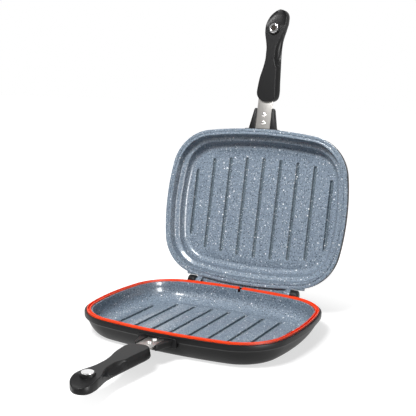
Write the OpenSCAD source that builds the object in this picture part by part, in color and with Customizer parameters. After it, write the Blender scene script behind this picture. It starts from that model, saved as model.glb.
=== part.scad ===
// Double sided flip pan: two cast trays hinged along their rear edge, each with a moulded handle.
// Rest pose: lower tray on its base, upper tray swung open against its stop.
// Origin: centre of the lower tray's flat base. +X right, +Y to the hinge, +Z up.

/* [Trays] */
// Width of the lower tray across its rim
body_w = 320; // [280:1:360]
// Depth of the lower tray across its rim, front to back
body_d = 259; // [230:1:300]
// Height of a tray from its base to its rim plane
tray_h = 34; // [28:1:44]
// Radius of the slightly bowed front and rear edges
front_bow_r = 658; // [560:2:900]
// Radius of the bowed left and right edges
side_bow_r = 370; // [330:2:520]
// Radius of the corners in plan
corner_r = 75; // [68:1:90]
// Height of the upright band around each rim
band_h = 7; // [5:0.5:9]
// How far the upper tray's rim sits inside the lower tray's rim
lid_inset = 5.7; // [4.5:0.1:6.5]
// Height of the upper rim face above the lower rim plane when closed
lid_rise = 2.2; // [2:0.1:3]
// Thickness of the cooking floors
floor_t = 6; // [5:0.5:8]
// Distance from the rim edge to the flat of the base
base_inset = 28; // [24:0.5:34]
// Distance from the lower rim edge to the flat cooking floor
floor_inset = 36; // [34.5:0.5:39]
// Distance from the upper rim edge to the flat cooking floor
lid_floor_inset = 31; // [29:0.5:36]

/* [Floor grooves] */
// Number of grooves in each floor
groove_n = 9; // [5:2:9]
// Distance between neighbouring grooves
groove_pitch = 29.3; // [24:0.1:30]
// Width of a groove
groove_w = 4.4; // [3:0.2:7]
// Depth of a groove
groove_depth = 2.9; // [1:0.1:3.2]
// Distance from the rim edge to the ends of the long grooves
groove_inset = 44; // [42:0.5:56]
// Length of the two shorter outermost grooves
short_groove = 108; // [80:1:130]

/* [Rim seal] */
// Distance from the rim edge to the seal's outer side
seal_inset = 3.2; // [2.6:0.1:4]
// Width of the seal
seal_w = 6.2; // [5.8:0.1:7]
// Height of the seal's outer lip above the rim plane
seal_rise = 2.3; // [1.8:0.1:2.6]
// Depth of the channel that holds the seal
channel_depth = 3; // [2:0.1:4]
// Clear gap over the seal's inner lip when closed
close_gap = 0.4; // [0.3:0.05:0.8]
// Width of the steam vent in the rear of the rims
vent_w = 6; // [4:0.5:9]
// Width of the vent's mouth in the lower tray
vent_mouth = 4; // [3:0.5:6]

/* [Hinge] */
// Angle that the upper tray swings open
open_angle = 101.75; // [90:0.25:110]
// How far the hinge axis lies in front of the rearmost rim point
hinge_in = 1.6; // [1.4:0.1:2]
// Height of the hinge axis above the rim plane
hinge_rise = 0.5; // [0:0.1:1]
// Distance from the tray's middle to the middle of a hinge barrel
hinge_x = 88; // [86:0.5:92]
// Length of a hinge barrel
barrel_len = 12; // [10:0.5:13]
// Radius of a hinge barrel
barrel_r = 6.8; // [6:0.1:7]
// Width of a hinge lug beside the barrel
lug_w = 9.5; // [6:0.5:10]
// Radius of a hinge lug
lug_r = 4.6; // [4:0.1:4.7]
// Radius of a hinge pin
pin_r = 2; // [1.5:0.1:2.4]
// Clearance between a pin and its bore in the lug
pin_clear = 0.05; // [0.02:0.01:0.1]
// Side gap between a barrel and its lug
lug_gap = 0.35; // [0.3:0.05:0.8]
// Depth of the rear flange behind the hinge axis
flange_back = 3; // [2:0.5:4]
// Thickness of the rear flange
flange_t = 4; // [3:0.5:6]

/* [Handle bracket] */
// Width of the steel strip
strip_w = 25; // [20:0.5:28]
// Thickness of the steel strip
strip_t = 2.5; // [2:0.1:3.5]
// Distance of the strip from the plane where the handles meet
strip_drop = 7.5; // [7:0.1:9]
// Length of the strip inside the handle
tang_len = 36; // [35:1:50]
// Width of an ear at its tip
ear_w = 4.5; // [4:0.5:7]
// How far the ears spread at the tray
ear_flare = 6.5; // [3:0.5:9]
// Distance from the lower rim edge to the ears' tips
ear_len = 28.5; // [24:0.5:34]
// Height of the ears above the strip
ear_rise = 1.4; // [0:0.1:3]
// Thickness of the bracket's web under the strip
web_t = 3.5; // [3:0.5:6]
// Radius of a rivet's shank
rivet_r = 2.2; // [1.8:0.1:2.8]
// Radius of a rivet's head
rivet_head_r = 3.9; // [3.2:0.1:4.6]
// Height of a rivet's domed head
rivet_head_h = 1.8; // [1.2:0.1:2.4]
// Distance from the lower rim edge to the first rivet
rivet_at = 5.2; // [5:0.1:8]
// Distance between the two rivets
rivet_pitch = 13; // [11:0.5:15]

/* [Handles] */
// Length of a handle
handle_len = 148; // [130:1:170]
// Width of a handle near its pan end
grip_w = 31.5; // [26:0.5:34]
// Softness of a handle's edges
grip_soft = 1; // [0.6:0.1:1.3]
// Thickness of a handle
handle_t = 15; // [14:0.5:18]
// Gap from the lower rim edge to the handle's end
handle_gap = 38.5; // [36:0.5:46]
// Distance of a handle's flat face from the plane where the handles meet
face_drop = 3.6; // [3:0.1:5]
// Distance from a handle's pan end to the catch
catch_at = 116; // [108:1:120]
// Sideways offset of the catch
catch_x = 2.5; // [0:0.5:6]
// Radius of the catch disc and the magnet ring
catch_r = 7.6; // [7:0.1:9]
// Thickness of the catch disc and the magnet ring
catch_t = 4; // [3:0.5:6]
// Gap between the catch disc and the magnet ring when closed
catch_gap = 0.4; // [0.3:0.05:0.8]
// Width of the moulded collar around the catch
collar_w = 1.9; // [1.5:0.1:3]
// How far the catch stands out of its collar
catch_proud = 1.1; // [0.5:0.1:2]
// Radius of the recess in the magnet ring
ring_recess_r = 4.4; // [3.5:0.1:5]

/* [Hidden] */
$fn = 96;

half_d = body_d / 2;
meet_z = tray_h + lid_rise / 2; // plane half way between the two closed trays
axis_y = half_d - hinge_in;
axis_z = tray_h + hinge_rise;
edge_soft = 0.8;

// Colours of the finishes
inside_blue = "#8496ad";
outside_black = "#2a2a2c";
seal_red = "#ff3510";
bright_steel = "#c4c0bc";
moulded_black = "#242426";
dark_steel = "#5a5653";

// Outline in plan: bowed edges joined by round corners that touch them
bow_y = front_bow_r - half_d;
bow_x = side_bow_r - body_w / 2;
bows_apart = norm([bow_x, bow_y]);
to_front = front_bow_r - corner_r;
to_side = side_bow_r - corner_r;
along = (to_front * to_front - to_side * to_side + bows_apart * bows_apart) / (2 * bows_apart);
across = sqrt(to_front * to_front - along * along);
corner_x = (across * bow_y - along * bow_x) / bows_apart;
corner_y = (along * bow_y + across * bow_x) / bows_apart - bow_y;
front_a = asin(corner_x / to_front);
side_a = asin(corner_y / to_side);

// Point of the rear edge over a given x, moved in by an inset
function rear_y(x, inset) = sqrt(pow(front_bow_r - inset, 2) - x * x) - bow_y;
function curve(a, b, c, n) = [for (i = [0 : n]) let (t = i / n)
    a * (1 - t) * (1 - t) + b * 2 * t * (1 - t) + c * t * t];

// Places along the outline, each with its outward direction
function arc_places(cx, cy, r, a, b, n) = [for (i = [0 : n - 1]) let (t = a + (b - a) * i / n)
    [cx + r * cos(t), cy + r * sin(t), cos(t), sin(t)]];
bow_steps = 6;
corner_steps = 10;
rim_places = concat(
    arc_places(0, bow_y, front_bow_r, 270 - front_a, 270 + front_a, bow_steps),
    arc_places(corner_x, -corner_y, corner_r, 270 + front_a, 360 - side_a, corner_steps),
    arc_places(-bow_x, 0, side_bow_r, -side_a, side_a, bow_steps),
    arc_places(corner_x, corner_y, corner_r, side_a, 90 - front_a, corner_steps),
    arc_places(0, -bow_y, front_bow_r, 90 - front_a, 90 + front_a, bow_steps),
    arc_places(-corner_x, corner_y, corner_r, 90 + front_a, 180 - side_a, corner_steps),
    arc_places(bow_x, 0, side_bow_r, 180 - side_a, 180 + side_a, bow_steps),
    arc_places(-corner_x, -corner_y, corner_r, 180 + side_a, 270 - front_a, corner_steps));
function outline(inset) = [for (p = rim_places) [p[0] - inset * p[2], p[1] - inset * p[3]]];

// A closed profile of [inset, height] points carried all the way round the outline
module round_rim(profile) {
    n = len(profile);
    m = len(rim_places);
    spots = [for (p = rim_places) for (q = profile) [p[0] - q[0] * p[2], p[1] - q[0] * p[3], q[1]]];
    sides = [for (k = [0 : m - 1]) for (i = [0 : n - 1]) let (j = (i + 1) % n, l = (k + 1) % m)
        [k * n + i, l * n + i, l * n + j, k * n + j]];
    polyhedron(spots, [for (q = sides) for (t = [[q[0], q[1], q[2]], [q[0], q[2], q[3]]]) t]);
}

// Outside of a tray wall: upright band, ledge, then a curve into the flat base
ledge_in = 4;
ledge_h = 3;
wall_steps = 6;
outer_wall = concat([[edge_soft, tray_h], [0, tray_h - edge_soft], [0, tray_h - band_h]],
    curve([ledge_in, tray_h - band_h - ledge_h], [13, 0], [base_inset, 0], wall_steps));

// Wall sections of the two trays
channel_in = seal_inset + seal_w;
lip_in = channel_in + 2.1;
lower_wall = concat(outer_wall, [[floor_inset, 0]],
    curve([floor_inset, floor_t], [14, floor_t], [lip_in + 0.5, tray_h - band_h], wall_steps),
    [[lip_in, tray_h - edge_soft], [lip_in - edge_soft, tray_h], [channel_in, tray_h],
    [channel_in, tray_h - channel_depth], [seal_inset, tray_h - channel_depth], [seal_inset, tray_h]]);
step_in = 9;
ledge_depth = 12;
ledge_out = 12.8;
ledge_end = 18.6;
skirt_t = 4;
lid_base_inset = lid_floor_inset - 5;
upper_wall = concat([[edge_soft, tray_h], [0, tray_h - edge_soft], [0, tray_h - band_h],
    [skirt_t, tray_h - band_h]],
    curve([skirt_t + 1, tray_h - ledge_depth], [lid_base_inset - 7, 0], [lid_base_inset, 0], wall_steps),
    [[lid_floor_inset, 0]],
    curve([lid_floor_inset, floor_t], [ledge_end + 3.6, floor_t],
        [ledge_end + 1, tray_h - ledge_depth - 3], wall_steps),
    [[ledge_end, tray_h - ledge_depth - 1], [ledge_end - 1.6, tray_h - ledge_depth - 0.5],
    [ledge_out + 1, tray_h - ledge_depth], [ledge_out - 0.8, tray_h - ledge_depth + 1.6],
    [step_in + edge_soft, tray_h - edge_soft], [step_in, tray_h]]);

// Grooves in a cooking floor
first_groove = -(groove_n - 1) / 2;
groove_clear = 8;
module grooves(inset) {
    for (i = [first_groove : -first_groove]) {
        x = i * groove_pitch;
        long_end = rear_y(x, groove_inset + inset) - groove_w / 2;
        end_y = abs(i) == -first_groove ? short_groove / 2 - groove_w / 2 : long_end;
        translate([x - groove_w / 2, -end_y, floor_t - groove_depth])
            cube([groove_w, 2 * end_y, groove_depth + groove_clear]);
        for (side = [-1, 1])
            translate([x, side * end_y, floor_t - groove_depth])
                cylinder(r = groove_w / 2, h = groove_depth + groove_clear);
    }
}

// A box spread evenly to both sides of the middle
module wide_box(w, y0, y1, z0, z1) translate([-w / 2, y0, z0]) cube([w, y1 - y0, z1 - z0]);

// A block with a constant section of [y, z] points, from x0 to x1
module along_x(x0, x1, section)
    translate([x0, 0, 0]) rotate([90, 0, 90]) linear_extrude(x1 - x0) polygon(section);

// A round bar along X on the hinge axis
module axis_bar(x0, x1, r) translate([x0, axis_y, axis_z]) rotate([0, 90, 0]) cylinder(r = r, h = x1 - x0);

// Tray with its wall and grooved floor
plate_lap = 3;
module tray(wall, inset, flat_in) {
    difference() {
        union() {
            round_rim([for (p = wall) [p[0] + inset, p[1]]]);
            linear_extrude(floor_t) polygon(outline(flat_in + inset - plate_lap));
        }
        grooves(inset);
    }
}

// Bracket that carries the handle strip: two flared ears, a web under the strip and a wall pad
strip_top = meet_z - strip_drop;
strip_low = strip_top - strip_t;
web_low = strip_low - web_t;
ear_tip_y = -half_d - ear_len;
lower_root = 8;
upper_root = ledge_out - 3;
ear_side = strip_w / 2 + 0.2;
pad_w = 57;
pad_low = 18.5;
pad_top = 31;
pad_proud = 0.9;
pad_in = 8;
module bracket(inset, root) {
    root_y = -half_d + inset + root;
    pad_y = -half_d + inset - pad_proud;
    difference() {
        union() {
            for (side = [-1, 1]) scale_side(side)
                translate([0, 0, web_low]) linear_extrude(strip_top + ear_rise - web_low)
                    polygon([[ear_side, ear_tip_y + 1], [ear_side + 1, ear_tip_y],
                        [ear_side + ear_w - 1.5, ear_tip_y], [ear_side + ear_w, ear_tip_y + 2],
                        [ear_side + ear_w + ear_flare, pad_y], [ear_side + ear_w + ear_flare, root_y],
                        [ear_side, root_y]]);
            wide_box(2 * ear_side + 1, ear_tip_y + 4, root_y, web_low, strip_low);
            wide_box(pad_w, pad_y, -half_d + inset + pad_in, pad_low, pad_top);
        }
        for (i = [0, 1]) rivet_place(i) translate([0, 0, -1]) cylinder(r = rivet_r, h = tray_h);
    }
}
module scale_side(side) mirror([side < 0 ? 1 : 0, 0, 0]) children();
module rivet_place(i) translate([0, -half_d - rivet_at - i * rivet_pitch, 0]) children();

// The closed upper half is the lower half turned over about the plane between the trays
module turned_over() translate([0, 0, 2 * meet_z]) mirror([0, 0, 1]) children();

// The upper half swings open about the hinge axis
module swung_open() translate([0, axis_y, axis_z]) rotate([-open_angle, 0, 0])
    translate([0, -axis_y, -axis_z]) children();

// Lower tray with bracket, hinge barrels, vent and pockets for the upper lugs
barrel_in = hinge_x - barrel_len / 2;
barrel_out = hinge_x + barrel_len / 2;
lug_out = barrel_in - lug_gap;
lug_in = lug_out - lug_w;
pocket_gap = 0.4;
module lower_pan() color(outside_black) difference() {
    union() {
        tray(lower_wall, 0, floor_inset);
        bracket(0, lower_root);
        for (side = [-1, 1]) scale_side(side) {
            axis_bar(barrel_in, barrel_out, barrel_r);
            along_x(barrel_in, barrel_out, [[axis_y - 6.8, axis_z - 7.5], [axis_y - 6.8, axis_z - 0.7],
                [axis_y - 4, axis_z], [axis_y + 3, axis_z - 6]]);
        }
    }
    for (side = [-1, 1]) scale_side(side) {
        axis_bar(barrel_in - 1, barrel_out + 1, pin_r);
        axis_bar(lug_in - lug_gap, lug_out + lug_gap, lug_r + pocket_gap);
    }
    wide_box(vent_mouth, half_d - lip_in - 1, half_d - seal_inset - 0.5, tray_h - channel_depth, tray_h + 1);
}

// Upper tray: wall and bracket turned over, with the rear flange, lugs and tabs
flange_low = axis_z + 3.9;
lug_root_y = axis_y - 13;
module upper_pan() color(outside_black) swung_open() difference() {
    union() {
        turned_over() tray(upper_wall, lid_inset, lid_floor_inset);
        turned_over() bracket(lid_inset, upper_root);
        along_x(-lug_in - 1, lug_in + 1, [[lug_root_y, flange_low], [axis_y + flange_back - 1, flange_low],
            [axis_y + flange_back, flange_low + 1], [axis_y + flange_back, flange_low + flange_t - 1],
            [axis_y + flange_back - 1, flange_low + flange_t], [lug_root_y, flange_low + flange_t]]);
        for (side = [-1, 1]) scale_side(side) {
            axis_bar(lug_in, lug_out, lug_r);
            along_x(lug_in, lug_out, [[axis_y - 12, axis_z + 2.2], [axis_y - 4.2, axis_z + 2.2],
                [axis_y, axis_z], [axis_y + 4.2, axis_z + 1.8], [axis_y + flange_back, flange_low + flange_t],
                [axis_y - 12, flange_low + flange_t]]);
            translate([barrel_in - 3, axis_y - 15, tray_h + lid_rise + 0.5]) cube([22, 6.1, 6.4]);
        }
    }
    for (side = [-1, 1]) scale_side(side) axis_bar(lug_in - 1, lug_out + 1, pin_r + pin_clear);
    wide_box(vent_w, half_d - lid_inset - step_in - 3, half_d, tray_h, tray_h + lid_rise + 1.2);
}

// Two-lipped seal in the lower rim, parted at the vent
inner_lip = lid_rise - close_gap;
seal_base = tray_h - channel_depth;
seal_dip = tray_h + 0.6;
module rim_seal() color(seal_red) difference() {
    round_rim([[seal_inset, seal_base], [channel_in, seal_base], [channel_in, tray_h + inner_lip - 0.5],
        [channel_in - 0.5, tray_h + inner_lip], [channel_in - 1.7, tray_h + inner_lip],
        [channel_in - 2.1, seal_dip], [seal_inset + 2.1, seal_dip], [seal_inset + 1.9, tray_h + seal_rise - 0.4],
        [seal_inset + 1.5, tray_h + seal_rise], [seal_inset + 0.5, tray_h + seal_rise],
        [seal_inset, tray_h + seal_rise - 0.5]]);
    wide_box(vent_w, half_d - channel_in - 2, half_d, seal_base - 1, tray_h + 2 * seal_rise);
}

// Hinge pins: held in the barrels, turning in the lugs
pin_head_r = 3.6;
pin_head_t = 1.2;
module hinge_pin(side) color(dark_steel) scale_side(side) {
    axis_bar(lug_in + 0.5, barrel_out + 0.1, pin_r);
    axis_bar(barrel_out, barrel_out + pin_head_t, pin_head_r);
}

// Handle strip with rivet and screw holes
handle_y = -half_d - handle_gap;
screw_y = handle_y - 30;
screw_r = 2;
module strip(inset) color(bright_steel) difference() {
    wide_box(strip_w, handle_y - tang_len, -half_d + inset - pad_proud, strip_low, strip_top);
    for (i = [0, 1]) rivet_place(i) cylinder(r = rivet_r, h = tray_h);
    translate([0, screw_y, 0]) cylinder(r = screw_r, h = tray_h);
}

// Dome-headed rivets with a flat head under the web
foot_t = 1;
module rivets() color(bright_steel) for (i = [0, 1]) rivet_place(i)
    rotate_extrude() polygon(concat([[0, web_low - foot_t], [rivet_head_r - 0.5, web_low - foot_t],
        [rivet_head_r - 0.5, web_low], [rivet_r, web_low], [rivet_r, strip_top], [rivet_head_r, strip_top]],
        curve([rivet_head_r, strip_top + 0.3], [rivet_head_r - 0.3, strip_top + rivet_head_h],
        [0, strip_top + rivet_head_h], 6)));

// Height of a handle's flat face and of its back
face_z = meet_z - face_drop;
handle_low = face_z - handle_t;
// Handle shape in percent of its length from the pan end: half widths of the face, of the wall over the
// scoop and of the back in percent of the grip width, then the depths of the finger scoop, of the face's dip
// and dish and of the back's rise in percent of the thickness
face_right = [[0, 22.2], [0.7, 34.9], [2, 44.4], [4.1, 50.8], [6.8, 52.7], [10.8, 51.7], [20.3, 47.6],
    [31.1, 44.4], [35.8, 43.8], [40.5, 34.9], [47.3, 26.7], [56.1, 27.3], [63.5, 34.9], [69.6, 47],
    [74.3, 57.1], [79.7, 64.4], [85.1, 68.6], [89.9, 68.6], [93.2, 65.4], [95.9, 59], [98, 49.5],
    [99.3, 37.5], [100, 24.8]];
wall_right = [[35.74, 0], [35.81, 43.8], [56.08, 45.4], [69.59, 52.1], [74.32, 57.1], [74.39, 0]];
face_left = [[0, 7.9], [0.7, 16.8], [2, 27.6], [4.1, 38.1], [6.8, 45.7], [10.1, 48.6], [15.5, 47],
    [25, 41.9], [31.1, 35.6], [37.8, 27.9], [47.3, 22.2], [56.1, 22.9], [62.8, 27.6], [67.6, 33],
    [73.6, 39.7], [79.1, 41.3], [84.5, 38.1], [88.5, 32.7], [91.9, 24.8], [94.6, 15.2], [97, 3.2],
    [98.6, -7.6], [99.6, -15.9], [100, -22.2]];
back_right = [[0, 25.4], [0.7, 39.7], [2, 50.8], [4.1, 58.4], [6.8, 62.2], [10.8, 63.2], [20.9, 59.7],
    [33.8, 55.6], [41.9, 53], [48.6, 50.8], [57.4, 49.2], [64.2, 50.8], [70.3, 55.9], [74.3, 61],
    [79.7, 66.7], [85.8, 71.7], [90.5, 71.7], [93.9, 68.6], [96.6, 61.6], [98.4, 52.1], [99.5, 40], [100, 27.3]];
scoop_depth = [[35.8, 0], [40.5, 33.3], [45.9, 58.7], [51.4, 66.7], [57.4, 64], [64.2, 50.7], [70.3, 28],
    [75, 0]];
face_dip = [[0, 0], [81.8, 0], [85.1, 4], [89.2, 11.3], [94.6, 20], [98, 26.7], [100, 36]];
face_dish = [[80.4, 0], [85.8, 12], [93.2, 14.7], [97.3, 8], [100, 2]];
back_rise = [[0, 23.3], [2, 10], [5.4, 2], [9.5, 0], [59.5, 0], [67.6, 4], [74.3, 7.3], [85.8, 8.7],
    [94.6, 10], [98, 14.7], [100, 26.7]];
places = [0, 0.7, 1.4, 2, 4.1, 6.8, 9.5, 13.5, 20.3, 29.7, 33.8, 35.8, 37.8, 40.5, 43.2, 45.9, 48.6, 51.4,
    54.1, 57.4, 60.8, 64.2, 67.6, 70.3, 73, 75, 77.7, 80.4, 82.4, 85.1, 87.2, 89.2, 91.2, 93.2, 94.9,
    96.3, 97.3, 98.1, 98.8, 99.3, 99.7, 100];
function wide(s, table) = grip_w * lookup(s, table) / 100;
function deep(s, table) = handle_t * lookup(s, table) / 100;
// One side of a section: the face's edge, the scoop or the plain wall, then the rounded back
function side_points(face, wall, back, scoop, top, low, soft) = let (h = top - low, edge = 0.06 * h,
    d = max(0.25 * h, scoop), hollow = min(1, scoop / (0.2 * h)),
    foot = wall + (back - wall) * min(1, d / (0.6 * h)))
    concat([[face - 1.2 * soft, top], [face - 0.3 * soft, top - 0.02 * h]],
    [for (a = [0 : 22.5 : 90]) let (t = a / 90) [face + (foot - face) * (t + hollow * (1 - cos(a) - t)),
        top - edge - (d - edge) * (t + hollow * (sin(a) - t))]],
    [[back, low + 0.3 * h], [back - 0.5 * soft, low + 0.2 * h], [back - 2 * soft, low + 0.1 * h],
    [back - 4.4 * soft, low + 0.03 * h], [back - 7 * soft, low]]);
full_soft = 1 / 2;
function handle_section(s) = let (top = face_z - deep(s, face_dip), low = handle_low + deep(s, back_rise),
    right = wide(s, face_right), left = wide(s, face_left),
    soft = min(1, (right + left) / (full_soft * grip_w)) * grip_soft,
    r = side_points(right, max(right, wide(s, wall_right)), max(right, wide(s, back_right)),
        deep(s, scoop_depth), top, low, soft),
    l = side_points(left, left, left, 0, top, low, soft), n = len(l))
    concat(r, [for (i = [0 : n - 1]) [-l[n - 1 - i][0], l[n - 1 - i][1]]],
    [for (t = [-0.7, -0.25, 0.25, 0.7]) [(right - left + t * (right + left - 2.4 * soft)) / 2,
        top - deep(s, face_dish) * (1 - t * t)]]);
module handle_body() {
    rings = [for (s = places) handle_section(s)];
    n = len(rings[0]);
    m = len(rings);
    spots = [for (k = [0 : m - 1]) for (p = rings[k]) [p[0], handle_y - places[k] * handle_len / 100, p[1]]];
    sides = [for (k = [0 : m - 2]) for (i = [0 : n - 1]) let (j = (i + 1) % n)
        [k * n + i, k * n + j, (k + 1) * n + j, (k + 1) * n + i]];
    halves = [for (q = sides) for (t = [[q[0], q[1], q[2]], [q[0], q[2], q[3]]]) t];
    polyhedron(spots, concat(halves, [[for (i = [0 : n - 1]) n - 1 - i], [for (i = [0 : n - 1]) (m - 1) * n + i]]));
}
catch_y = handle_y - catch_at;
catch_top = meet_z - catch_gap / 2;
collar_top = catch_top - catch_proud;
collar_sink = 5;
head_r = 4.2;
head_t = 2.2;
screw_end = 3;
module at_catch(z) translate([catch_x, catch_y, z]) children();
module handle(catch_bore) color(moulded_black) difference() {
    union() {
        handle_body();
        at_catch(face_z - collar_sink) cylinder(r = catch_r + collar_w, h = collar_top - face_z + collar_sink);
    }
    wide_box(strip_w, handle_y - tang_len, handle_y + 1, strip_low, strip_top);
    translate([0, screw_y, handle_low - 1]) cylinder(r = head_r, h = head_t + 1);
    translate([0, screw_y, handle_low]) cylinder(r = screw_r, h = handle_t - screw_end);
    at_catch(catch_top - catch_t) cylinder(r = catch_r, h = catch_t + 1);
    at_catch(catch_top - catch_t - catch_bore) cylinder(r = screw_r, h = catch_bore + 1);
}

// Screw that holds a handle on its strip, with a cross recess in its head
cross_w = 0.9;
cross_l = 5;
cross_d = 0.8;
head_gap = 0.6;
module cross_recess(z) {
    translate([-cross_w / 2, -cross_l / 2, z]) cube([cross_w, cross_l, cross_d]);
    translate([-cross_l / 2, -cross_w / 2, z]) cube([cross_l, cross_w, cross_d]);
}
module handle_screw() color(bright_steel) translate([0, screw_y, 0]) difference() {
    union() {
        translate([0, 0, handle_low + head_gap]) cylinder(r = head_r, h = head_t - head_gap);
        translate([0, 0, handle_low + head_gap]) cylinder(r = screw_r, h = handle_t - screw_end - head_gap);
    }
    cross_recess(handle_low + head_gap);
}

// Steel disc on the lower handle and ring magnet on the upper one
disc_edge = 0.6;
module catch_disc() color(bright_steel) at_catch(catch_top - catch_t) rotate_extrude()
    polygon([[0, 0], [catch_r, 0], [catch_r, catch_t - disc_edge], [catch_r - disc_edge, catch_t], [0, catch_t]]);
bore_r = screw_r + 0.2;
recess_t = 2;
module magnet_ring() color(bright_steel) at_catch(catch_top - catch_t) rotate_extrude()
    polygon([[bore_r, 0], [catch_r, 0], [catch_r, catch_t - disc_edge], [catch_r - disc_edge, catch_t],
        [ring_recess_r, catch_t], [ring_recess_r, recess_t], [bore_r, recess_t]]);
ring_screw_len = 5;
ring_head_t = 1;
module magnet_ring_screw() color(dark_steel) at_catch(catch_top - catch_t) difference() {
    union() {
        translate([0, 0, recess_t]) cylinder(r = ring_recess_r - 0.2, h = ring_head_t);
        translate([0, 0, -ring_screw_len]) cylinder(r = screw_r, h = ring_screw_len + recess_t + ring_head_t);
    }
    cross_recess(recess_t + ring_head_t - cross_d / 2);
}

lower_pan();
upper_pan();
rim_seal();
hinge_pin(-1);  // left_hinge_pin
hinge_pin(1);  // right_hinge_pin
strip(0);  // lower_strip
swung_open() turned_over() strip(lid_inset);  // upper_strip
rivets();  // lower_strip_rivets
swung_open() turned_over() rivets();  // upper_strip_rivets
handle(0);  // lower_handle
swung_open() turned_over() handle(ring_screw_len);  // upper_handle
handle_screw();  // lower_handle_screw
swung_open() turned_over() handle_screw();  // upper_handle_screw
catch_disc();
swung_open() turned_over() magnet_ring();
swung_open() turned_over() magnet_ring_screw();
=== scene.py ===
import math
import bmesh
import bpy
from mathutils import Matrix, Vector


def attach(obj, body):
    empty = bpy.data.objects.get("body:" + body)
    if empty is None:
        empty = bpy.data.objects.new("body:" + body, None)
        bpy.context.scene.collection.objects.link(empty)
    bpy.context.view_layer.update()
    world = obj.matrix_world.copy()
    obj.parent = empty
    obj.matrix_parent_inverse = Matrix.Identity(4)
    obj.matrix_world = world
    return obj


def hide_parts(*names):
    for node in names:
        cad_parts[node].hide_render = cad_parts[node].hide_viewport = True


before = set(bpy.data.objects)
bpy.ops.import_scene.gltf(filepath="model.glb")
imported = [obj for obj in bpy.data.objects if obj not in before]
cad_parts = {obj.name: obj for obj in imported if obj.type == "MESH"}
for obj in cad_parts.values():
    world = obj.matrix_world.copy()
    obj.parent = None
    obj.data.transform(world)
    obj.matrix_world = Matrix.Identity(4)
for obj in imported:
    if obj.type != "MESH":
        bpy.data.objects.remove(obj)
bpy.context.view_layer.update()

# Double sided flip pan, dressed for the photograph's view. Shapes are worked in millimetres, in the
# closed pan's place, and are swung open and turned to metres when each piece is finished.
MM = 0.001
RIM_W, RIM_D, TRAY_H = 320.0, 259.0, 34.0
FRONT_R, SIDE_R, CORNER_R = 658.0, 370.0, 75.0
LID_INSET, LID_RISE, FLOOR_T = 5.7, 2.2, 6
AXIS_Y, AXIS_Z, OPEN_ANGLE = RIM_D / 2 - 1.6, TRAY_H + 0.5, math.radians(101.75)
MEET_Z = TRAY_H + LID_RISE / 2

# The rim's outline: bowed edges joined by round corners that touch them.
BOW_Y, BOW_X = FRONT_R - RIM_D / 2, SIDE_R - RIM_W / 2
APART, TO_FRONT, TO_SIDE = math.hypot(BOW_X, BOW_Y), FRONT_R - CORNER_R, SIDE_R - CORNER_R
ALONG = (TO_FRONT ** 2 - TO_SIDE ** 2 + APART ** 2) / (2 * APART)
ACROSS = math.sqrt(TO_FRONT ** 2 - ALONG ** 2)
CORNER_X = (ACROSS * BOW_Y - ALONG * BOW_X) / APART
CORNER_Y = (ALONG * BOW_Y + ACROSS * BOW_X) / APART - BOW_Y
FRONT_A, SIDE_A = math.asin(CORNER_X / TO_FRONT), math.asin(CORNER_Y / TO_SIDE)
CORNER_A = math.pi / 2 - FRONT_A - SIDE_A

SWING = (Matrix.Translation((0, AXIS_Y, AXIS_Z)) @ Matrix.Rotation(-OPEN_ANGLE, 4, "X")
         @ Matrix.Translation((0, -AXIS_Y, -AXIS_Z)))
TURN_OVER = Matrix.Translation((0, 0, 2 * MEET_Z)) @ Matrix.Scale(-1, 4, (0, 0, 1))


# ---- materials ----

def linear(code):
    """A hex colour as sRGB screens show it, turned to linear light."""
    parts = [int(code[i:i + 2], 16) / 255 for i in (1, 3, 5)]
    return [c / 12.92 if c <= 0.04045 else ((c + 0.055) / 1.055) ** 2.4 for c in parts] + [1.0]


def add_node(material, kind, settings=(), **inputs):
    """Adds a node: settings are its own fields, inputs are values or the sockets that feed it."""
    node = material.node_tree.nodes.new(kind)
    for name, value in dict(settings).items():
        setattr(node, name, value)
    for name, value in inputs.items():
        key = int(name[1:]) if name[0] == "_" and name[1:].isdigit() else name.replace("_", " ")
        socket = node.inputs[key]
        if isinstance(value, bpy.types.NodeSocket):
            material.node_tree.links.new(value, socket)
        else:
            socket.default_value = value
    return node


def new_material(name, colour, roughness, metallic=0.0):
    """A material with its shader set up; the shader's node is returned with it."""
    material = bpy.data.materials.new(name)
    material.use_nodes = True
    shader = material.node_tree.nodes["Principled BSDF"]
    shader.inputs["Base Color"].default_value = linear(colour)
    shader.inputs["Roughness"].default_value = roughness
    shader.inputs["Metallic"].default_value = metallic
    return material, shader


def ramp_between(material, factor, low, high, dark, light):
    """Colours a pattern: dark below low, light above high, with a blend between."""
    node = add_node(material, "ShaderNodeValToRGB", Fac=factor)
    node.color_ramp.elements[0].position, node.color_ramp.elements[1].position = low, high
    node.color_ramp.elements[0].color, node.color_ramp.elements[1].color = dark, light
    return node.outputs["Color"]


WHITE, BLACK = [1, 1, 1, 1], [0, 0, 0, 1]


def mixed(material, factor, under, over):
    """Lays one colour over another where the factor is 1."""
    node = add_node(material, "ShaderNodeMix", {"data_type": "RGBA"}, Factor=factor, _6=under, _7=over)
    return node.outputs[2]


def grains(material, place, cell_mm, share, kept):
    """A mask of round grains: one in each cell of that size, a share of it wide, some of them kept."""
    cell = add_node(material, "ShaderNodeTexVoronoi", Vector=place, Scale=1 / (cell_mm * MM))
    spots = ramp_between(material, cell.outputs["Distance"], share * 0.75, share * 1.1, WHITE, BLACK)
    chance = add_node(material, "ShaderNodeSeparateColor", Color=cell.outputs["Color"])
    keep = ramp_between(material, chance.outputs[0], 1 - kept, 1.02 - kept, BLACK, WHITE)
    both = add_node(material, "ShaderNodeMath", {"operation": "MULTIPLY"}, _0=spots, _1=keep)
    return both.outputs[0]


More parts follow.
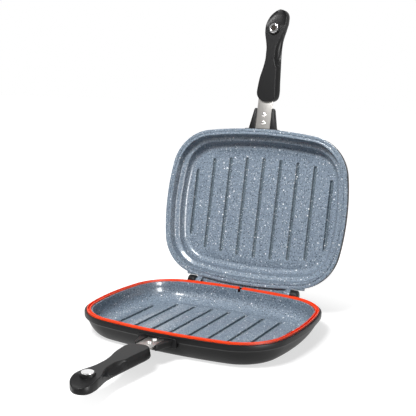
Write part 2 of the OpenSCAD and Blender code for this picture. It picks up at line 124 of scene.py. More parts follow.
def granite_coat(name, deep, pale, grit=1.0):
    """Sprayed non-stick coat on cast aluminium: blue-grey with white and dark grit, half gloss."""
    material, shader = new_material(name, deep, 0.36)
    shader.inputs["Specular IOR Level"].default_value = 0.3
    shader.inputs["Coat Weight"].default_value = 0.45
    shader.inputs["Coat Roughness"].default_value = 0.09
    place = add_node(material, "ShaderNodeTexCoord").outputs["Object"]
    # Mottling of about 2 mm from the spray, with finer detail in it.
    cloud = add_node(material, "ShaderNodeTexNoise", Vector=place, Scale=450.0, Detail=4.0, Roughness=0.8)
    colour = ramp_between(material, cloud.outputs["Fac"], 0.36, 0.64, linear(deep), linear(pale))
    # Dark grit near 1.5 mm wide, then white grit of the same size and a few larger flakes.
    for cell_mm, share, kept, code in ((3.6, 0.24, 0.85, "#34424f"), (3.4, 0.2, 0.7 * grit, "#dfe5ea"),
                                       (8.5, 0.14, 0.6 * grit, "#f6f8fa")):
        colour = mixed(material, grains(material, place, cell_mm, share, kept), colour, linear(code))
    # An even shade on steep walls stands in for part of the soft shadow in the cavities.
    steep = add_node(material, "ShaderNodeAttribute", {"attribute_name": "steepness"}).outputs["Fac"]
    shade = ramp_between(material, steep, 0.0, 1.0, WHITE, [0.65, 0.67, 0.69, 1])
    toned = add_node(material, "ShaderNodeMix", {"data_type": "RGBA", "blend_type": "MULTIPLY"}, Factor=1.0,
                     _6=colour, _7=shade)
    material.node_tree.links.new(toned.outputs[2], shader.inputs["Base Color"])
    # The grit stands a few hundredths of a millimetre proud under the coat.
    bump = add_node(material, "ShaderNodeBump", Strength=0.25, Distance=0.0002, Height=cloud.outputs["Fac"])
    material.node_tree.links.new(bump.outputs["Normal"], shader.inputs["Normal"])
    return material


def fine_texture(material, shader, size_mm, depth_mm, spread):
    """Fine noise of a real grain size: a shallow bump and a small change of gloss."""
    place = add_node(material, "ShaderNodeTexCoord").outputs["Object"]
    noise = add_node(material, "ShaderNodeTexNoise", Vector=place, Scale=1 / (size_mm * MM), Detail=3.0)
    bump = add_node(material, "ShaderNodeBump", Strength=0.4, Distance=depth_mm * MM,
                    Height=noise.outputs["Fac"])
    material.node_tree.links.new(bump.outputs["Normal"], shader.inputs["Normal"])
    middle = shader.inputs["Roughness"].default_value
    gloss = add_node(material, "ShaderNodeMapRange", Value=noise.outputs["Fac"], To_Min=middle - spread,
                     To_Max=middle + spread)
    material.node_tree.links.new(gloss.outputs["Result"], shader.inputs["Roughness"])
    return material


def black_enamel():
    """Heat-proof black enamel sprayed on the castings' outside: satin, with a slight orange peel."""
    material, shader = new_material("black_satin_enamel", "#131314", 0.42)
    shader.inputs["Specular IOR Level"].default_value = 0.22
    return fine_texture(material, shader, 1.6, 0.02, 0.05)


def black_phenolic():
    """Moulded black phenolic of the handles: dull satin with the mould's fine spark texture."""
    material, shader = new_material("black_moulded_phenolic", "#0e0e0f", 0.4)
    shader.inputs["Specular IOR Level"].default_value = 0.21
    return fine_texture(material, shader, 0.9, 0.03, 0.06)


def red_silicone():
    """Moulded orange-red silicone rubber: smooth, a little translucent and softly glossy."""
    material, shader = new_material("orange_red_silicone", "#ee3f0c", 0.45)
    shader.inputs["IOR"].default_value = 1.41
    return fine_texture(material, shader, 2.5, 0.02, 0.04)


def rolled_steel(name, colour, roughness):
    """Steel strip with the fine lines of rolling along its length, and a bright sheen."""
    material, shader = new_material(name, colour, roughness, 1.0)
    place = add_node(material, "ShaderNodeTexCoord").outputs["Object"]
    # Lines about 0.25 mm apart across the strip, drawn out some 60 times along it.
    drawn = add_node(material, "ShaderNodeMapping", Vector=place, Scale=(4000.0, 60.0, 60.0))
    lines = add_node(material, "ShaderNodeTexNoise", Vector=drawn.outputs["Vector"], Scale=1.0, Detail=2.0)
    gloss = add_node(material, "ShaderNodeMapRange", Value=lines.outputs["Fac"], To_Min=roughness - 0.06,
                     To_Max=roughness + 0.08)
    material.node_tree.links.new(gloss.outputs["Result"], shader.inputs["Roughness"])
    bump = add_node(material, "ShaderNodeBump", Strength=0.15, Distance=0.00002, Height=lines.outputs["Fac"])
    material.node_tree.links.new(bump.outputs["Normal"], shader.inputs["Normal"])
    return material


def turned_steel(name, colour, roughness):
    """Polished steel with faint rings of turning, for the catch and the pins."""
    material, shader = new_material(name, colour, roughness, 1.0)
    return fine_texture(material, shader, 0.6, 0.004, 0.03)


COAT = granite_coat("granite_non_stick_coat", "#5c6a79", "#98a6b4")
# A darker tone of the coat with less white grit: painted shade for the grooves and for the lip beside the
# seal.
PAINTED_SHADE_COAT = granite_coat("granite_coat_painted_shade", "#3d4a57", "#77868f", 0.7)
ENAMEL = black_enamel()
PHENOLIC = black_phenolic()
SILICONE = red_silicone()
STRIP_STEEL = rolled_steel("rolled_bright_steel", "#c6c3bf", 0.34)
RIVET_STEEL = turned_steel("bright_rivet_steel", "#f2f0ee", 0.22)
CATCH_STEEL = turned_steel("polished_catch_steel", "#f4f4f4", 0.12)
DARK_STEEL = turned_steel("blackened_screw_steel", "#35322f", 0.35)


# ---- mesh helpers ----

def finish_piece(name, bm, body, materials, replaced=(), place=None, sharp=35.0):
    """Welds the shape and brings it to its place, makes the object and hands it to the frame."""
    if place:
        bmesh.ops.transform(bm, matrix=place, verts=bm.verts)
    bmesh.ops.scale(bm, vec=(MM, MM, MM), verts=bm.verts)
    bmesh.ops.remove_doubles(bm, verts=bm.verts, dist=2e-6)
    bmesh.ops.recalc_face_normals(bm, faces=bm.faces)
    for face in bm.faces:
        face.smooth = True
    for edge in bm.edges:
        edge.smooth = len(edge.link_faces) != 2 or edge.calc_face_angle(0) < math.radians(sharp)
    mesh = bpy.data.meshes.new(name)
    bm.to_mesh(mesh)
    bm.free()
    for material in materials:
        mesh.materials.append(material)
    piece = bpy.data.objects.new(name, mesh)
    bpy.context.scene.collection.objects.link(piece)
    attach(piece, body)
    if replaced:
        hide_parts(*replaced)
    return piece


def curve_points(a, b, c, count):
    """Points of a curve from a to c that b pulls on, without its first."""
    return [tuple(a[i] * (1 - t) ** 2 + b[i] * 2 * t * (1 - t) + c[i] * t * t for i in range(2))
            for t in (k / count for k in range(1, count + 1))]


def round_rim(bm, chain, inset=0.0, finish=0, gap=0.0, closed=False):
    """Carries a chain of (inset, height) points round the rim's outline, from the rear middle back to it."""
    old_faces = set(bm.faces)
    start, radius = math.pi / 2 + gap, FRONT_R - inset
    verts = [bm.verts.new(((radius - p[0]) * math.cos(start),
                           (radius - p[0]) * math.sin(start) - BOW_Y, p[1])) for p in chain]
    pairs = list(zip(verts, verts[1:])) + ([(verts[-1], verts[0])] if closed else [])
    first = [bm.edges.new(pair) for pair in pairs]
    geom = verts + first
    legs = [((0, -BOW_Y), FRONT_A - gap, 8), ((-CORNER_X, CORNER_Y), CORNER_A, 22),
            ((BOW_X, 0), 2 * SIDE_A, 10), ((-CORNER_X, -CORNER_Y), CORNER_A, 22),
            ((0, BOW_Y), 2 * FRONT_A, 16), ((CORNER_X, -CORNER_Y), CORNER_A, 22),
            ((-BOW_X, 0), 2 * SIDE_A, 10),
            ((CORNER_X, CORNER_Y), CORNER_A, 22), ((0, -BOW_Y), FRONT_A - gap, 8)]
    for centre, angle, steps in legs:
        geom = bmesh.ops.spin(bm, geom=geom, cent=(*centre, 0), axis=(0, 0, 1), dvec=(0, 0, 0), angle=angle,
                              steps=steps, use_merge=False, use_normal_flip=False,
                              use_duplicate=False)["geom_last"]
    for face in set(bm.faces) - old_faces:
        face.material_index = finish
    if gap:
        last = [e for e in geom if isinstance(e, bmesh.types.BMEdge)]
        for ring in (first, last):
            bmesh.ops.edgeloop_fill(bm, edges=ring)
    else:
        bmesh.ops.remove_doubles(bm, verts=bm.verts, dist=1e-3)


def mark_steep(bm):
    """Notes on each point how steep the tray is there, from 0 on a floor to 1 on an upright wall."""
    bm.normal_update()
    layer = bm.verts.layers.float.new("steepness")
    for v in bm.verts:
        v[layer] = min(1, max(0, (0.85 - abs(v.normal.z)) / 0.6))


def rear_y(x, inset):
    """Where the rear edge, moved in by an inset, lies over a given x."""
    return math.sqrt((FRONT_R - inset) ** 2 - x * x) - BOW_Y


def edges_at(bm, height):
    return [e for e in bm.edges if e.is_boundary and all(abs(v.co.z - height) < 1e-3 for v in e.verts)]


# A groove's section: half width and depth, from the rounded shoulder down to its flat bottom.
GROOVE_STEPS = ((2.75, 0.1), (2.45, 0.4), (2.3, 0.95), (2.05, 2.0), (1.6, 2.65), (0.9, 2.9))
GROOVE_N, GROOVE_PITCH, SHORT_GROOVE, GROOVE_R, GROOVE_STEPS_ROUND = 4, 29.3, 108.0, 3.1, 32


def grooved_floor(bm, inset, height, finish):
    """Closes the tray with its cooking floor and presses the nine long grooves into it."""
    old_faces = set(bm.faces)
    outlines, grooves = edges_at(bm, height), []
    for i in range(-GROOVE_N, GROOVE_N + 1):
        x = i * GROOVE_PITCH
        half = (SHORT_GROOVE / 2 if abs(i) == GROOVE_N else rear_y(x, 44 + inset)) - 2.2
        place = Matrix.Translation((x, 0, height)) @ Matrix.Rotation(math.pi / GROOVE_STEPS_ROUND, 4, "Z")
        ring = bmesh.ops.create_circle(bm, segments=GROOVE_STEPS_ROUND, radius=GROOVE_R, cap_ends=False,
                                       matrix=place)["verts"]
        for v in ring:
            v.co.y += math.copysign(half, v.co.y)
        edges = list({e for v in ring for e in v.link_edges})
        outlines += edges
        grooves.append((x, half, edges))
    bmesh.ops.triangle_fill(bm, edges=outlines, use_beauty=True, use_dissolve=False, normal=(0, 0, 1))
    flat_faces = set(bm.faces) - old_faces
    for x, half, edges in grooves:
        for width, depth in GROOVE_STEPS:
            grown = bmesh.ops.extrude_edge_only(bm, edges=edges)["geom"]
            verts = {g for g in grown if isinstance(g, bmesh.types.BMVert)}
            edges = [g for g in grown if isinstance(g, bmesh.types.BMEdge) and set(g.verts) <= verts]
            for v in verts:
                near = Vector((x, max(-half, min(half, v.co.y)), v.co.z))
                away = (v.co - near).normalized()
                v.co = near + away * width
                v.co.z = height - depth
        bmesh.ops.edgeloop_fill(bm, edges=edges)
    # The groove faces take the next material, the coat's darker tone of painted shade.
    for face in set(bm.faces) - old_faces:
        face.material_index = finish if face in flat_faces else finish + 1


def block(bm, x0, x1, y0, y1, z0, z1, soft=0.0, segments=3):
    """A block between two corners with softened edges."""
    verts = bmesh.ops.create_cube(bm, size=1.0)["verts"]
    bmesh.ops.scale(bm, vec=(x1 - x0, y1 - y0, z1 - z0), verts=verts)
    bmesh.ops.translate(bm, vec=((x0 + x1) / 2, (y0 + y1) / 2, (z0 + z1) / 2), verts=verts)
    if soft:
        soften(bm, list({e for v in verts for e in v.link_edges}), soft, segments)


def soften(bm, edges, width, segments=3):
    bmesh.ops.bevel(bm, geom=edges, offset=width, offset_type="OFFSET", segments=segments, profile=0.5,
                    affect="EDGES", material=-1, clamp_overlap=True)


def slab(bm, points, z0, z1, soft=0.0):
    """A flat outline given thickness upwards, with its edges softened."""
    verts = [bm.verts.new((p[0], p[1], z0)) for p in points]
    face = bm.faces.new(verts)
    grown = bmesh.ops.extrude_face_region(bm, geom=[face])["geom"]
    moved = [g for g in grown if isinstance(g, bmesh.types.BMVert)]
    bmesh.ops.translate(bm, vec=(0, 0, z1 - z0), verts=moved)
    if soft:
        corners = set(verts) | set(moved)
        soften(bm, [e for e in bm.edges if set(e.verts) <= corners], soft)


def turned(bm, chain, place, segments=48):
    """A turned part: a chain of (radius, height) points spun round its own axis, then put in place."""
    others = set(bm.verts)
    verts = [bm.verts.new((p[0], 0, p[1])) for p in chain]
    edges = [bm.edges.new(pair) for pair in zip(verts, verts[1:])]
    bmesh.ops.spin(bm, geom=verts + edges, cent=(0, 0, 0), axis=(0, 0, 1), dvec=(0, 0, 0), angle=2 * math.pi,
                   steps=segments, use_merge=True, use_normal_flip=False, use_duplicate=False)
    fresh = [v for v in bm.verts if v not in others]
    bmesh.ops.transform(bm, matrix=place, verts=fresh)
    return fresh


def side_block(bm, side, x0, x1, *rest):
    """A block between two distances from the middle, on the side given by -1 or 1."""
    block(bm, min(side * x0, side * x1), max(side * x0, side * x1), *rest)


def both_sides(bm, verts):
    """Copies a right-hand shape to the left."""
    faces = list({f for v in verts for f in v.link_faces})
    edges = list({e for f in faces for e in f.edges})
    copied = bmesh.ops.duplicate(bm, geom=list(verts) + edges + faces)["geom"]
    bmesh.ops.scale(bm, vec=(-1, 1, 1), verts=[g for g in copied if isinstance(g, bmesh.types.BMVert)])


LOWER, UPPER = "lower_half", "upper_half"
TURNED = SWING @ TURN_OVER

# ---- lower tray ----

# Places of the trays' three materials, the third the coat's darker tone of painted shade, and the steam
# vent's half width and height.
OUTSIDE, INSIDE, SHADE_TONE = 0, 1, 2
VENT_HALF, VENT_LOW = 2.2, 29.5
# Outside, from the flat base up the wall and over the ledge and band to the seal's channel.
LOWER_OUTSIDE = [(36, 0), (28.6, 0), (28, 0.02)] + curve_points((28, 0.02), (13, 0), (4.1, 23.8), 12) + [
    (3.7, 24.5), (0.6, 26.4), (0.15, 26.9), (0, 27.6), (0, 32.9), (0.25, 33.6), (0.9, 34), (2.9, 34),
    (3.2, 33.8), (3.2, 31), (9.4, 31)]
# The thin inner lip beside the seal, then the inside down to the cooking floor.
LOWER_LIP = [(9.4, 31), (9.4, 33.6), (9.7, 33.93), (10.2, 34), (10.7, 34)]
LOWER_INSIDE = [(10.7, 34), (11.2, 33.8), (11.5, 33.2), (12, 27)] + curve_points(
    (12, 27), (14, FLOOR_T), (36, FLOOR_T), 14)
bm = bmesh.new()
round_rim(bm, LOWER_OUTSIDE, finish=OUTSIDE)
# The lip beside the seal takes the coat's darker tone, painted shade there.
round_rim(bm, LOWER_LIP, finish=SHADE_TONE)
round_rim(bm, LOWER_INSIDE, finish=INSIDE)
bmesh.ops.edgeloop_fill(bm, edges=edges_at(bm, 0))
grooved_floor(bm, 0, FLOOR_T, INSIDE)
# Steam vent: a notch in the inner lip at the rear middle, cut with two planes a side.
for x in (-2.3, -2.1, 2.1, 2.3):
    rear = [f for f in bm.faces if f.calc_center_median().y > 110 and abs(f.calc_center_median().x) < 20]
    cut = rear + list({e for f in rear for e in f.edges} | {v for f in rear for v in f.verts})
    bmesh.ops.bisect_plane(bm, geom=cut, dist=1e-4, plane_co=(x, 0, 0), plane_no=(1, 0, 0))
for v in bm.verts:
    if abs(v.co.x) < VENT_HALF and 114 < v.co.y < 120.5 and v.co.z > VENT_LOW:
        v.co.z = VENT_LOW
# The notch's faces take the black enamel, painted shade in the vent.
for face in bm.faces:
    middle = face.calc_center_median()
    if abs(middle.x) < 2.3 and 114 < middle.y < 121 and middle.z > 29:
        face.material_index = OUTSIDE
mark_steep(bm)
finish_piece("lower_tray", bm, LOWER, (ENAMEL, COAT, PAINTED_SHADE_COAT), ("lower_pan",))

# ---- rim seal: two lips with a valley between, parted at the vent ----

bm = bmesh.new()
SEAL = [(3.2, 31), (3.2, 35.6), (3.35, 36.05), (3.8, 36.3), (4.6, 36.3), (5.0, 36.05), (5.15, 35.6),
        (5.3, 33.6), (5.7, 33.1), (6.9, 33.1), (7.3, 33.6), (7.4, 35.2), (7.6, 35.65), (8.0, 35.8),
        (8.75, 35.8), (9.2, 35.6), (9.4, 35.1), (9.4, 31)]
round_rim(bm, SEAL, gap=3 / FRONT_R, closed=True)
finish_piece("silicone_seal", bm, LOWER, (SILICONE,), ("rim_seal",))

# ---- upper tray, worked as if it lay on its base, then turned over and swung open ----

def from_rim(points):
    """Turns (inset, depth below the rim face) points to (inset, height)."""
    return [(p[0], TRAY_H - p[1]) for p in points]


UPPER_OUTSIDE = from_rim([(26, 34), (25.9, 34)] + curve_points((25.9, 34), (19, 34), (5, 12), 12)
                         + [(4.6, 11), (4.2, 9.4), (3.9, 8.8), (3.4, 8.6), (0.6, 8.6), (0.15, 8.4), (0, 7.9),
                            (0, 0.5)])
# Rim face with a shallow groove between its two ridges, a steep drop to a ledge, then the wall to the floor.
UPPER_INSIDE = from_rim([(0, 0.5), (0.2, 0.15), (0.7, 0), (4.0, 0), (4.5, 0.2), (4.9, 0.9), (5.7, 0.9),
                         (6.1, 0.2), (6.6, 0), (8.4, 0), (8.9, 0.15), (9.3, 0.7), (9.6, 1.6), (11.2, 9.2),
                         (11.6, 10.4), (12.3, 11.2), (13.3, 11.8), (17, 13.2), (18.1, 13.9), (18.9, 15),
                         (19.5, 16.6)] + curve_points((19.5, 16.6), (22, 28), (31, 28), 16))
bm = bmesh.new()
round_rim(bm, UPPER_OUTSIDE, inset=LID_INSET, finish=OUTSIDE)
round_rim(bm, UPPER_INSIDE, inset=LID_INSET, finish=INSIDE)
bmesh.ops.edgeloop_fill(bm, edges=edges_at(bm, 0))
grooved_floor(bm, LID_INSET, FLOOR_T, INSIDE)
mark_steep(bm)
finish_piece("upper_tray", bm, UPPER, (ENAMEL, COAT, PAINTED_SHADE_COAT), ("upper_pan",), TURNED)

# ---- brackets: two flared ears, a web under the strip and a pad on the wall ----

STRIP_TOP, STRIP_T, STRIP_W = MEET_Z - 7.5, 2.5, 25.0
WEB_LOW = STRIP_TOP - STRIP_T - 3.5
EAR_TIP = -RIM_D / 2 - 28.5


def bracket(name, body, inset, root, place):
    bm = bmesh.new()
    wall, pad = -RIM_D / 2 + inset + root, -RIM_D / 2 + inset - 0.9
    ear = [(12.7, EAR_TIP + 2.5), (13.6, EAR_TIP + 0.4), (15.6, EAR_TIP), (17.2, EAR_TIP + 2.6), (23.6, pad),
           (23.6, wall), (12.7, wall)]
    slab(bm, ear, WEB_LOW, STRIP_TOP + 1.4, soft=1.1)
    both_sides(bm, list(bm.verts))
    block(bm, -13.2, 13.2, EAR_TIP + 4, wall, WEB_LOW, STRIP_TOP - STRIP_T, 0.6)
    block(bm, -28.5, 28.5, pad, -RIM_D / 2 + inset + 8, 18.5, 31, 0.7)
    finish_piece(name, bm, body, (ENAMEL,), (), place)


bracket("lower_bracket", LOWER, 0, 8, None)
bracket("upper_bracket", UPPER, LID_INSET, 9, TURNED)

# ---- handle strips with their dome-headed rivets ----

HANDLE_Y, HANDLE_T, TANG = -RIM_D / 2 - 38.5, 15.0, 36.0
RIVET_YS = (-RIM_D / 2 - 5.2, -RIM_D / 2 - 18.2)
RIVET = [(0, WEB_LOW - 1), (3, WEB_LOW - 1), (3.4, WEB_LOW - 0.7), (3.4, WEB_LOW), (2.2, WEB_LOW),
         (2.2, STRIP_TOP), (3.9, STRIP_TOP), (3.95, STRIP_TOP + 0.25)] + curve_points(
             (3.95, STRIP_TOP + 0.25), (3.4, STRIP_TOP + 1.75), (0, STRIP_TOP + 1.8), 8)


def strip_and_rivets(side, body, inset, place):
    bm = bmesh.new()
    block(bm, -STRIP_W / 2, STRIP_W / 2, HANDLE_Y - TANG, -RIM_D / 2 + inset - 0.9, STRIP_TOP - STRIP_T,
          STRIP_TOP, 0.35)
    finish_piece(side + "_steel_strip", bm, body, (STRIP_STEEL,), (side + "_strip",), place)
    bm = bmesh.new()
    for y in RIVET_YS:
        turned(bm, RIVET, Matrix.Translation((0, y, 0)))
    finish_piece(side + "_rivets", bm, body, (RIVET_STEEL,), (side + "_strip_rivets",), place)


strip_and_rivets("lower", LOWER, 0, None)
strip_and_rivets("upper", UPPER, LID_INSET, TURNED)

# ---- handles: sections every few millimetres from the pan end, bridged ring to ring ----

FACE_Z = MEET_Z - 3.6
HANDLE_LOW = FACE_Z - HANDLE_T
# Distance from the pan end, then half widths of the face, of the wall over the scoop and of the back.
FACE_RIGHT = [(0, 7), (1, 11), (3, 14), (6, 16), (10, 16.6), (16, 16.3), (30, 15), (46, 14), (53, 13.8),
              (60, 11), (70, 8.4), (83, 8.6), (94, 11), (103, 14.8), (110, 18), (118, 20.3), (126, 21.6),
              (133, 21.6), (138, 20.6), (142, 18.6), (145, 15.6), (147, 11.8), (148, 7.8)]
WALL_RIGHT = [(53, 13.8), (83, 14.3), (103, 16.4), (110, 18)]
FACE_LEFT = [(0, 2.5), (1, 5.3), (3, 8.7), (6, 12), (10, 14.4), (15, 15.3), (23, 14.8), (37, 13.2),
             (46, 11.2), (56, 8.8), (70, 7), (83, 7.2), (93, 8.7), (100, 10.4), (109, 12.5), (117, 13),
             (125, 12), (131, 10.3), (136, 7.8), (140, 4.8), (143.5, 1), (146, -2.4), (147.4, -5), (148, -7)]
BACK_RIGHT = [(0, 8), (1, 12.5), (3, 16), (6, 18.4), (10, 19.6), (16, 19.9), (31, 18.8), (50, 17.5),
              (62, 16.7), (72, 16), (85, 15.5), (95, 16), (104, 17.6), (110, 19.2), (118, 21), (127, 22.6),
              (134, 22.6), (139, 21.6), (143, 19.4), (145.6, 16.4), (147.3, 12.6), (148, 8.6)]
# Depths of the finger scoop, of the face's dip and dish at the tip, and how far the back rises.
SCOOP = [(53, 0), (60, 5), (68, 8.8), (76, 10), (85, 9.6), (95, 7.6), (104, 4.2), (111, 0)]
FACE_DIP = [(0, 0), (121, 0), (126, 0.6), (132, 1.7), (140, 3), (145, 4), (148, 5.4)]
FACE_DISH = [(119, 0), (127, 1.8), (138, 2.2), (144, 1.2), (148, 0.3)]
BACK_RISE = [(0, 3.5), (3, 1.5), (8, 0.3), (14, 0), (88, 0), (100, 0.6), (110, 1.1), (127, 1.3),
             (140, 1.5), (145, 2.2), (148, 4)]


def read_smoothly(table, s):
    """Reads a table of (distance, value) pairs along a smooth curve that doesn't overshoot."""
    s = min(max(s, table[0][0]), table[-1][0])
    i = max(k for k in range(len(table) - 1) if table[k][0] <= s)
    slopes = [(after[1] - before[1]) / (after[0] - before[0]) for before, after in zip(table, table[1:])]

    def lean(k):
        if k in (0, len(slopes)):
            return slopes[0] if k == 0 else slopes[-1]
        a, b = slopes[k - 1], slopes[k]
        return 0 if a * b <= 0 else 2 * a * b / (a + b)

    (s0, v0), (s1, v1) = table[i], table[i + 1]
    w, t = s1 - s0, (s - s0) / (s1 - s0)
    return (v0 * (1 + 2 * t) * (1 - t) ** 2 + lean(i) * w * t * (1 - t) ** 2
            + v1 * t * t * (3 - 2 * t) - lean(i + 1) * w * t * t * (1 - t))


# How the back rounds off: distance in from its side, and height in parts of the section's.
BACK_ROUND = ((0, 0.3), (0.12, 0.25), (0.5, 0.2), (1.1, 0.145), (2, 0.1), (3.1, 0.06), (4.4, 0.03),
              (5.7, 0.01), (7, 0))
ACROSS_FACE = (-0.92, -0.8, -0.6, -0.3, 0, 0.3, 0.6, 0.8, 0.92)


def side_of_handle(face, wall, back, scoop, top, low, soft):
    """Half a section: the face's edge, the finger scoop or the plain wall, then the rounded back."""
    height = top - low
    edge, depth, hollow = 0.06 * height, max(0.25 * height, scoop), min(1, scoop / (0.2 * height))
    foot = wall + (back - wall) * min(1, depth / (0.6 * height))
    points = [(face - 1.1 * soft, top), (face - 0.6 * soft, top - 0.006 * height),
              (face - 0.2 * soft, top - 0.024 * height)]
    for t in [k / 10 for k in range(11)]:
        bend = (1 - math.cos(t * math.pi / 2) - t, math.sin(t * math.pi / 2) - t)
        points.append((face + (foot - face) * (t + hollow * bend[0]),
                       top - edge - (depth - edge) * (t + hollow * bend[1])))
    return points + [(back - soft * i, low + height * g) for i, g in BACK_ROUND]


def handle_section(s):
    top, low = FACE_Z - read_smoothly(FACE_DIP, s), HANDLE_LOW + read_smoothly(BACK_RISE, s)
    right, left = read_smoothly(FACE_RIGHT, s), read_smoothly(FACE_LEFT, s)
    soft = min(1, (right + left) / 16)
    wall = max(right, read_smoothly(WALL_RIGHT, s)) if 53 < s < 110 else right
    back_side = max(right, read_smoothly(BACK_RIGHT, s))
    outer = side_of_handle(right, wall, back_side, read_smoothly(SCOOP, s), top, low, soft)
    inner = [(-x, z) for x, z in side_of_handle(left, left, left, 0, top, low, soft)]
    dish, middle, reach = read_smoothly(FACE_DISH, s), (right - left) / 2, (right + left) / 2 - 1.1 * soft
    face = [(middle + t * reach, top - dish * (1 - t ** 4)) for t in ACROSS_FACE]
    return outer + inner[::-1] + face


PLACES = ([0, 0.4, 1, 2, 3, 4.5, 6, 8, 10, 12.5] + [15 + 2 * k for k in range(61)]
          + [137, 139, 140.8, 142.4, 143.8, 145, 146, 146.8, 147.4, 147.8, 148])
CATCH_X, CATCH_Y, CATCH_R, CATCH_T, CATCH_TOP = 2.5, HANDLE_Y - 116, 7.6, 4, MEET_Z - 0.2
COLLAR = [(9.5, FACE_Z - 4), (9.5, CATCH_TOP - 1.5), (9.35, CATCH_TOP - 1.2), (9.05, CATCH_TOP - 1.1),
          (7.95, CATCH_TOP - 1.1), (7.75, CATCH_TOP - 1.3), (7.7, CATCH_TOP - CATCH_T)]


def handle(side, body, place):
    bm = bmesh.new()
    rings = []
    for s in PLACES:
        verts = [bm.verts.new((x, HANDLE_Y - s, z)) for x, z in handle_section(s)]
        rings.append([bm.edges.new(pair) for pair in zip(verts, verts[1:] + verts[:1])])
    for ring in (rings[0], rings[-1]):
        bmesh.ops.edgeloop_fill(bm, edges=ring)
    for pair in zip(rings, rings[1:]):
        bmesh.ops.bridge_loops(bm, edges=pair[0] + pair[1])
    turned(bm, COLLAR, Matrix.Translation((CATCH_X, CATCH_Y, 0)), 64)
    finish_piece(side + "_grip", bm, body, (PHENOLIC,), (side + "_handle",), place, 38)


handle("lower", LOWER, None)
handle("upper", UPPER, TURNED)

# ---- catch: a steel disc below meets a ring magnet above ----

AT_CATCH = Matrix.Translation((CATCH_X, CATCH_Y, CATCH_TOP - CATCH_T))
CATCH_EDGE = [(CATCH_R, 0), (CATCH_R, 3.4), (7.45, 3.75), (7.05, 3.95), (6.6, CATCH_T)]
bm = bmesh.new()
turned(bm, [(0, 0)] + CATCH_EDGE + [(0, CATCH_T)], AT_CATCH, 64)
finish_piece("steel_catch_disc", bm, LOWER, (CATCH_STEEL,), ("catch_disc",))
bm = bmesh.new()
turned(bm, [(2.2, 0)] + CATCH_EDGE + [(4.9, CATCH_T), (4.55, 3.9), (4.4, 3.6), (4.4, 2), (2.2, 2), (2.2, 0)],
       AT_CATCH, 64)
finish_piece("ring_magnet", bm, UPPER, (CATCH_STEEL,), ("magnet_ring",), TURNED)

# ---- hinge: barrels below, lugs, flange and stop tabs above ----

ON_AXIS = Matrix.Translation((0, AXIS_Y, AXIS_Z)) @ Matrix.Rotation(math.pi / 2, 4, "Y")
BARREL_IN, BARREL_OUT = 82.0, 94.0
LUG_IN, LUG_OUT = 72.15, 81.65
TAB_IN, TAB_OUT = 79, 101
bm = bmesh.new()
barrel = turned(bm, [(2.1, BARREL_IN), (7.2, BARREL_IN), (8.1, 82.35), (8.6, 83), (8.75, 83.9), (8.75, 92),
                     (8.6, 92.9), (8.1, 93.6), (7.2, BARREL_OUT), (2.1, BARREL_OUT)], ON_AXIS)
both_sides(bm, barrel)
for side in (-1, 1):
    side_block(bm, side, BARREL_IN, BARREL_OUT, AXIS_Y - 6.8, AXIS_Y + 0.5, AXIS_Z - 6.5, AXIS_Z - 1, 0.6)
finish_piece("hinge_barrels", bm, LOWER, (ENAMEL,))

FLANGE_LOW, FLANGE_Y = AXIS_Z + 3.9, AXIS_Y + 3
bm = bmesh.new()
block(bm, -LUG_IN, LUG_IN, AXIS_Y - 13, FLANGE_Y, FLANGE_LOW + 1.3, FLANGE_LOW + 4, 0.5)
lug = turned(bm, [(2.15, LUG_IN), (4, LUG_IN), (4.45, 72.35), (4.6, 72.8), (4.6, 81.0), (4.45, 81.45),
                  (4, LUG_OUT), (2.15, LUG_OUT)], ON_AXIS)
both_sides(bm, lug)
for side in (-1, 1):
    side_block(bm, side, LUG_IN, LUG_OUT, AXIS_Y - 11, FLANGE_Y, AXIS_Z + 2.3, FLANGE_LOW + 4, 0.7)
    side_block(bm, side, TAB_IN, TAB_OUT, AXIS_Y - 15, AXIS_Y - 8.9, 36.7, 43.1, 0.9)
finish_piece("hinge_lugs", bm, UPPER, (COAT,), (), SWING)

# ---- CAD pieces that stay as they are get their finish ----

for name in ("left_hinge_pin", "right_hinge_pin", "lower_handle_screw", "upper_handle_screw",
             "magnet_ring_screw"):
    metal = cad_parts[name].data.materials
    metal.clear()
    metal.append(DARK_STEEL)

# ---- camera ----

AIM = Vector((0, 0.00682, 0.17931))
AZIMUTH, ELEVATION, ROLL, AWAY = math.radians(27.49), math.radians(9.95), math.radians(1.18), 1.14984
right = Vector((math.cos(AZIMUTH), math.sin(AZIMUTH), 0))
back = Vector((math.sin(AZIMUTH) * math.cos(ELEVATION), -math.cos(AZIMUTH) * math.cos(ELEVATION),
               math.sin(ELEVATION)))
up = back.cross(right)
side_way = right * math.cos(ROLL) + up * math.sin(ROLL)
up_way = up * math.cos(ROLL) - right * math.sin(ROLL)
spot = AIM + back * AWAY
camera = bpy.data.objects.new("camera", bpy.data.cameras.new("camera"))
camera.data.lens, camera.data.sensor_width = 70.524, 36.0
camera.matrix_world = Matrix((
    (side_way.x, up_way.x, back.x, spot.x), (side_way.y, up_way.y, back.y, spot.y),
    (side_way.z, up_way.z, back.z, spot.z), (0, 0, 0, 1)))
bpy.context.scene.collection.objects.link(camera)
bpy.context.scene.camera = camera

# ---- white studio: paper floor, plain surround and soft boxes ----

bm = bmesh.new()
bmesh.ops.create_grid(bm, x_segments=1, y_segments=1, size=6.0)
mesh = bpy.data.meshes.new("studio_floor")
bm.to_mesh(mesh)
bm.free()
floor = bpy.data.objects.new("studio_floor", mesh)
floor.location.z = -0.0002
bpy.context.scene.collection.objects.link(floor)
paper = bpy.data.materials.new("white_studio_paper")
paper.use_nodes = True
paper.node_tree.nodes.clear()
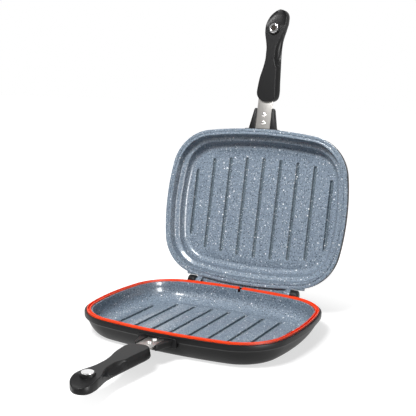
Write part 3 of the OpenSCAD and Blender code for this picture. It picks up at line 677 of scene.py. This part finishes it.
# The paper glows: weakly close to the pan, where its shadow shows, and to plain white further out, where the
# glow hides shadows.
place = add_node(paper, "ShaderNodeTexCoord").outputs["Object"]
away = add_node(paper, "ShaderNodeVectorMath", {"operation": "LENGTH"}, _0=place)
glow_level = add_node(paper, "ShaderNodeMapRange", {"interpolation_type": "SMOOTHSTEP"},
                      Value=away.outputs["Value"], From_Min=0.14, From_Max=0.32, To_Min=0.68, To_Max=1.0)
glow = add_node(paper, "ShaderNodeEmission", Color=WHITE, Strength=glow_level.outputs["Result"])
lit = add_node(paper, "ShaderNodeBsdfDiffuse", Color=(0.4, 0.4, 0.4, 1))
white_paper = add_node(paper, "ShaderNodeAddShader", _0=lit.outputs[0], _1=glow.outputs[0])
dim_paper = add_node(paper, "ShaderNodeBsdfDiffuse", Color=(0.12, 0.12, 0.12, 1))
ray = add_node(paper, "ShaderNodeLightPath")
chosen = add_node(paper, "ShaderNodeMixShader", _0=ray.outputs["Is Diffuse Ray"], _1=white_paper.outputs[0],
                  _2=dim_paper.outputs[0])
add_node(paper, "ShaderNodeOutputMaterial", Surface=chosen.outputs[0])
mesh.materials.append(paper)

world = bpy.data.worlds.new("white_surround")
bpy.context.scene.world = world
world.use_nodes = True
world.node_tree.nodes.clear()
seen = add_node(world, "ShaderNodeBackground", Color=WHITE, Strength=1.0)
# In reflections the room is a white backdrop behind the pan and dimmer behind the camera.
way = add_node(world, "ShaderNodeTexCoord").outputs["Generated"]
rearward = add_node(world, "ShaderNodeSeparateXYZ", Vector=way).outputs["Y"]
bright = add_node(world, "ShaderNodeMapRange", Value=rearward, From_Min=-0.7, From_Max=0.8,
                  To_Min=0.24, To_Max=1.0)
mirrored = add_node(world, "ShaderNodeBackground", Color=WHITE, Strength=bright.outputs[0])
fill = add_node(world, "ShaderNodeBackground", Color=WHITE, Strength=0.06)
ray = add_node(world, "ShaderNodeLightPath")
glossy = add_node(world, "ShaderNodeMixShader", _0=ray.outputs["Is Glossy Ray"], _1=fill.outputs[0],
                  _2=mirrored.outputs[0])
whole = add_node(world, "ShaderNodeMixShader", _0=ray.outputs["Is Camera Ray"], _1=glossy.outputs[0],
                 _2=seen.outputs[0])
add_node(world, "ShaderNodeOutputWorld", Surface=whole.outputs[0])


def lamp(name, at, aim, size, power):
    """A soft box, width by height, that faces the aimed spot."""
    data = bpy.data.lights.new(name, "AREA")
    data.shape = "RECTANGLE"
    data.size, data.size_y = size
    data.energy = power
    box = bpy.data.objects.new(name, data)
    box.location = at
    box.rotation_euler = (Vector(aim) - Vector(at)).to_track_quat("-Z", "Y").to_euler()
    bpy.context.scene.collection.objects.link(box)
    return box


lamp("lamp_key", (-0.1, -1.05, 1.5), (0, 0.08, 0.14), (0.6, 0.45), 42)
lamp("lamp_above", (0.1, 0.0, 1.7), (0, 0.05, 0.1), (0.9, 0.9), 1)
# A tall strip that only shows as a streak in glossy surfaces.
lamp("lamp_right_strip", (1.15, -0.45, 0.42), (-0.1, 0.15, 0.2), (0.34, 0.7), 24).visible_diffuse = False

bpy.context.scene.view_settings.view_transform = "Standard"
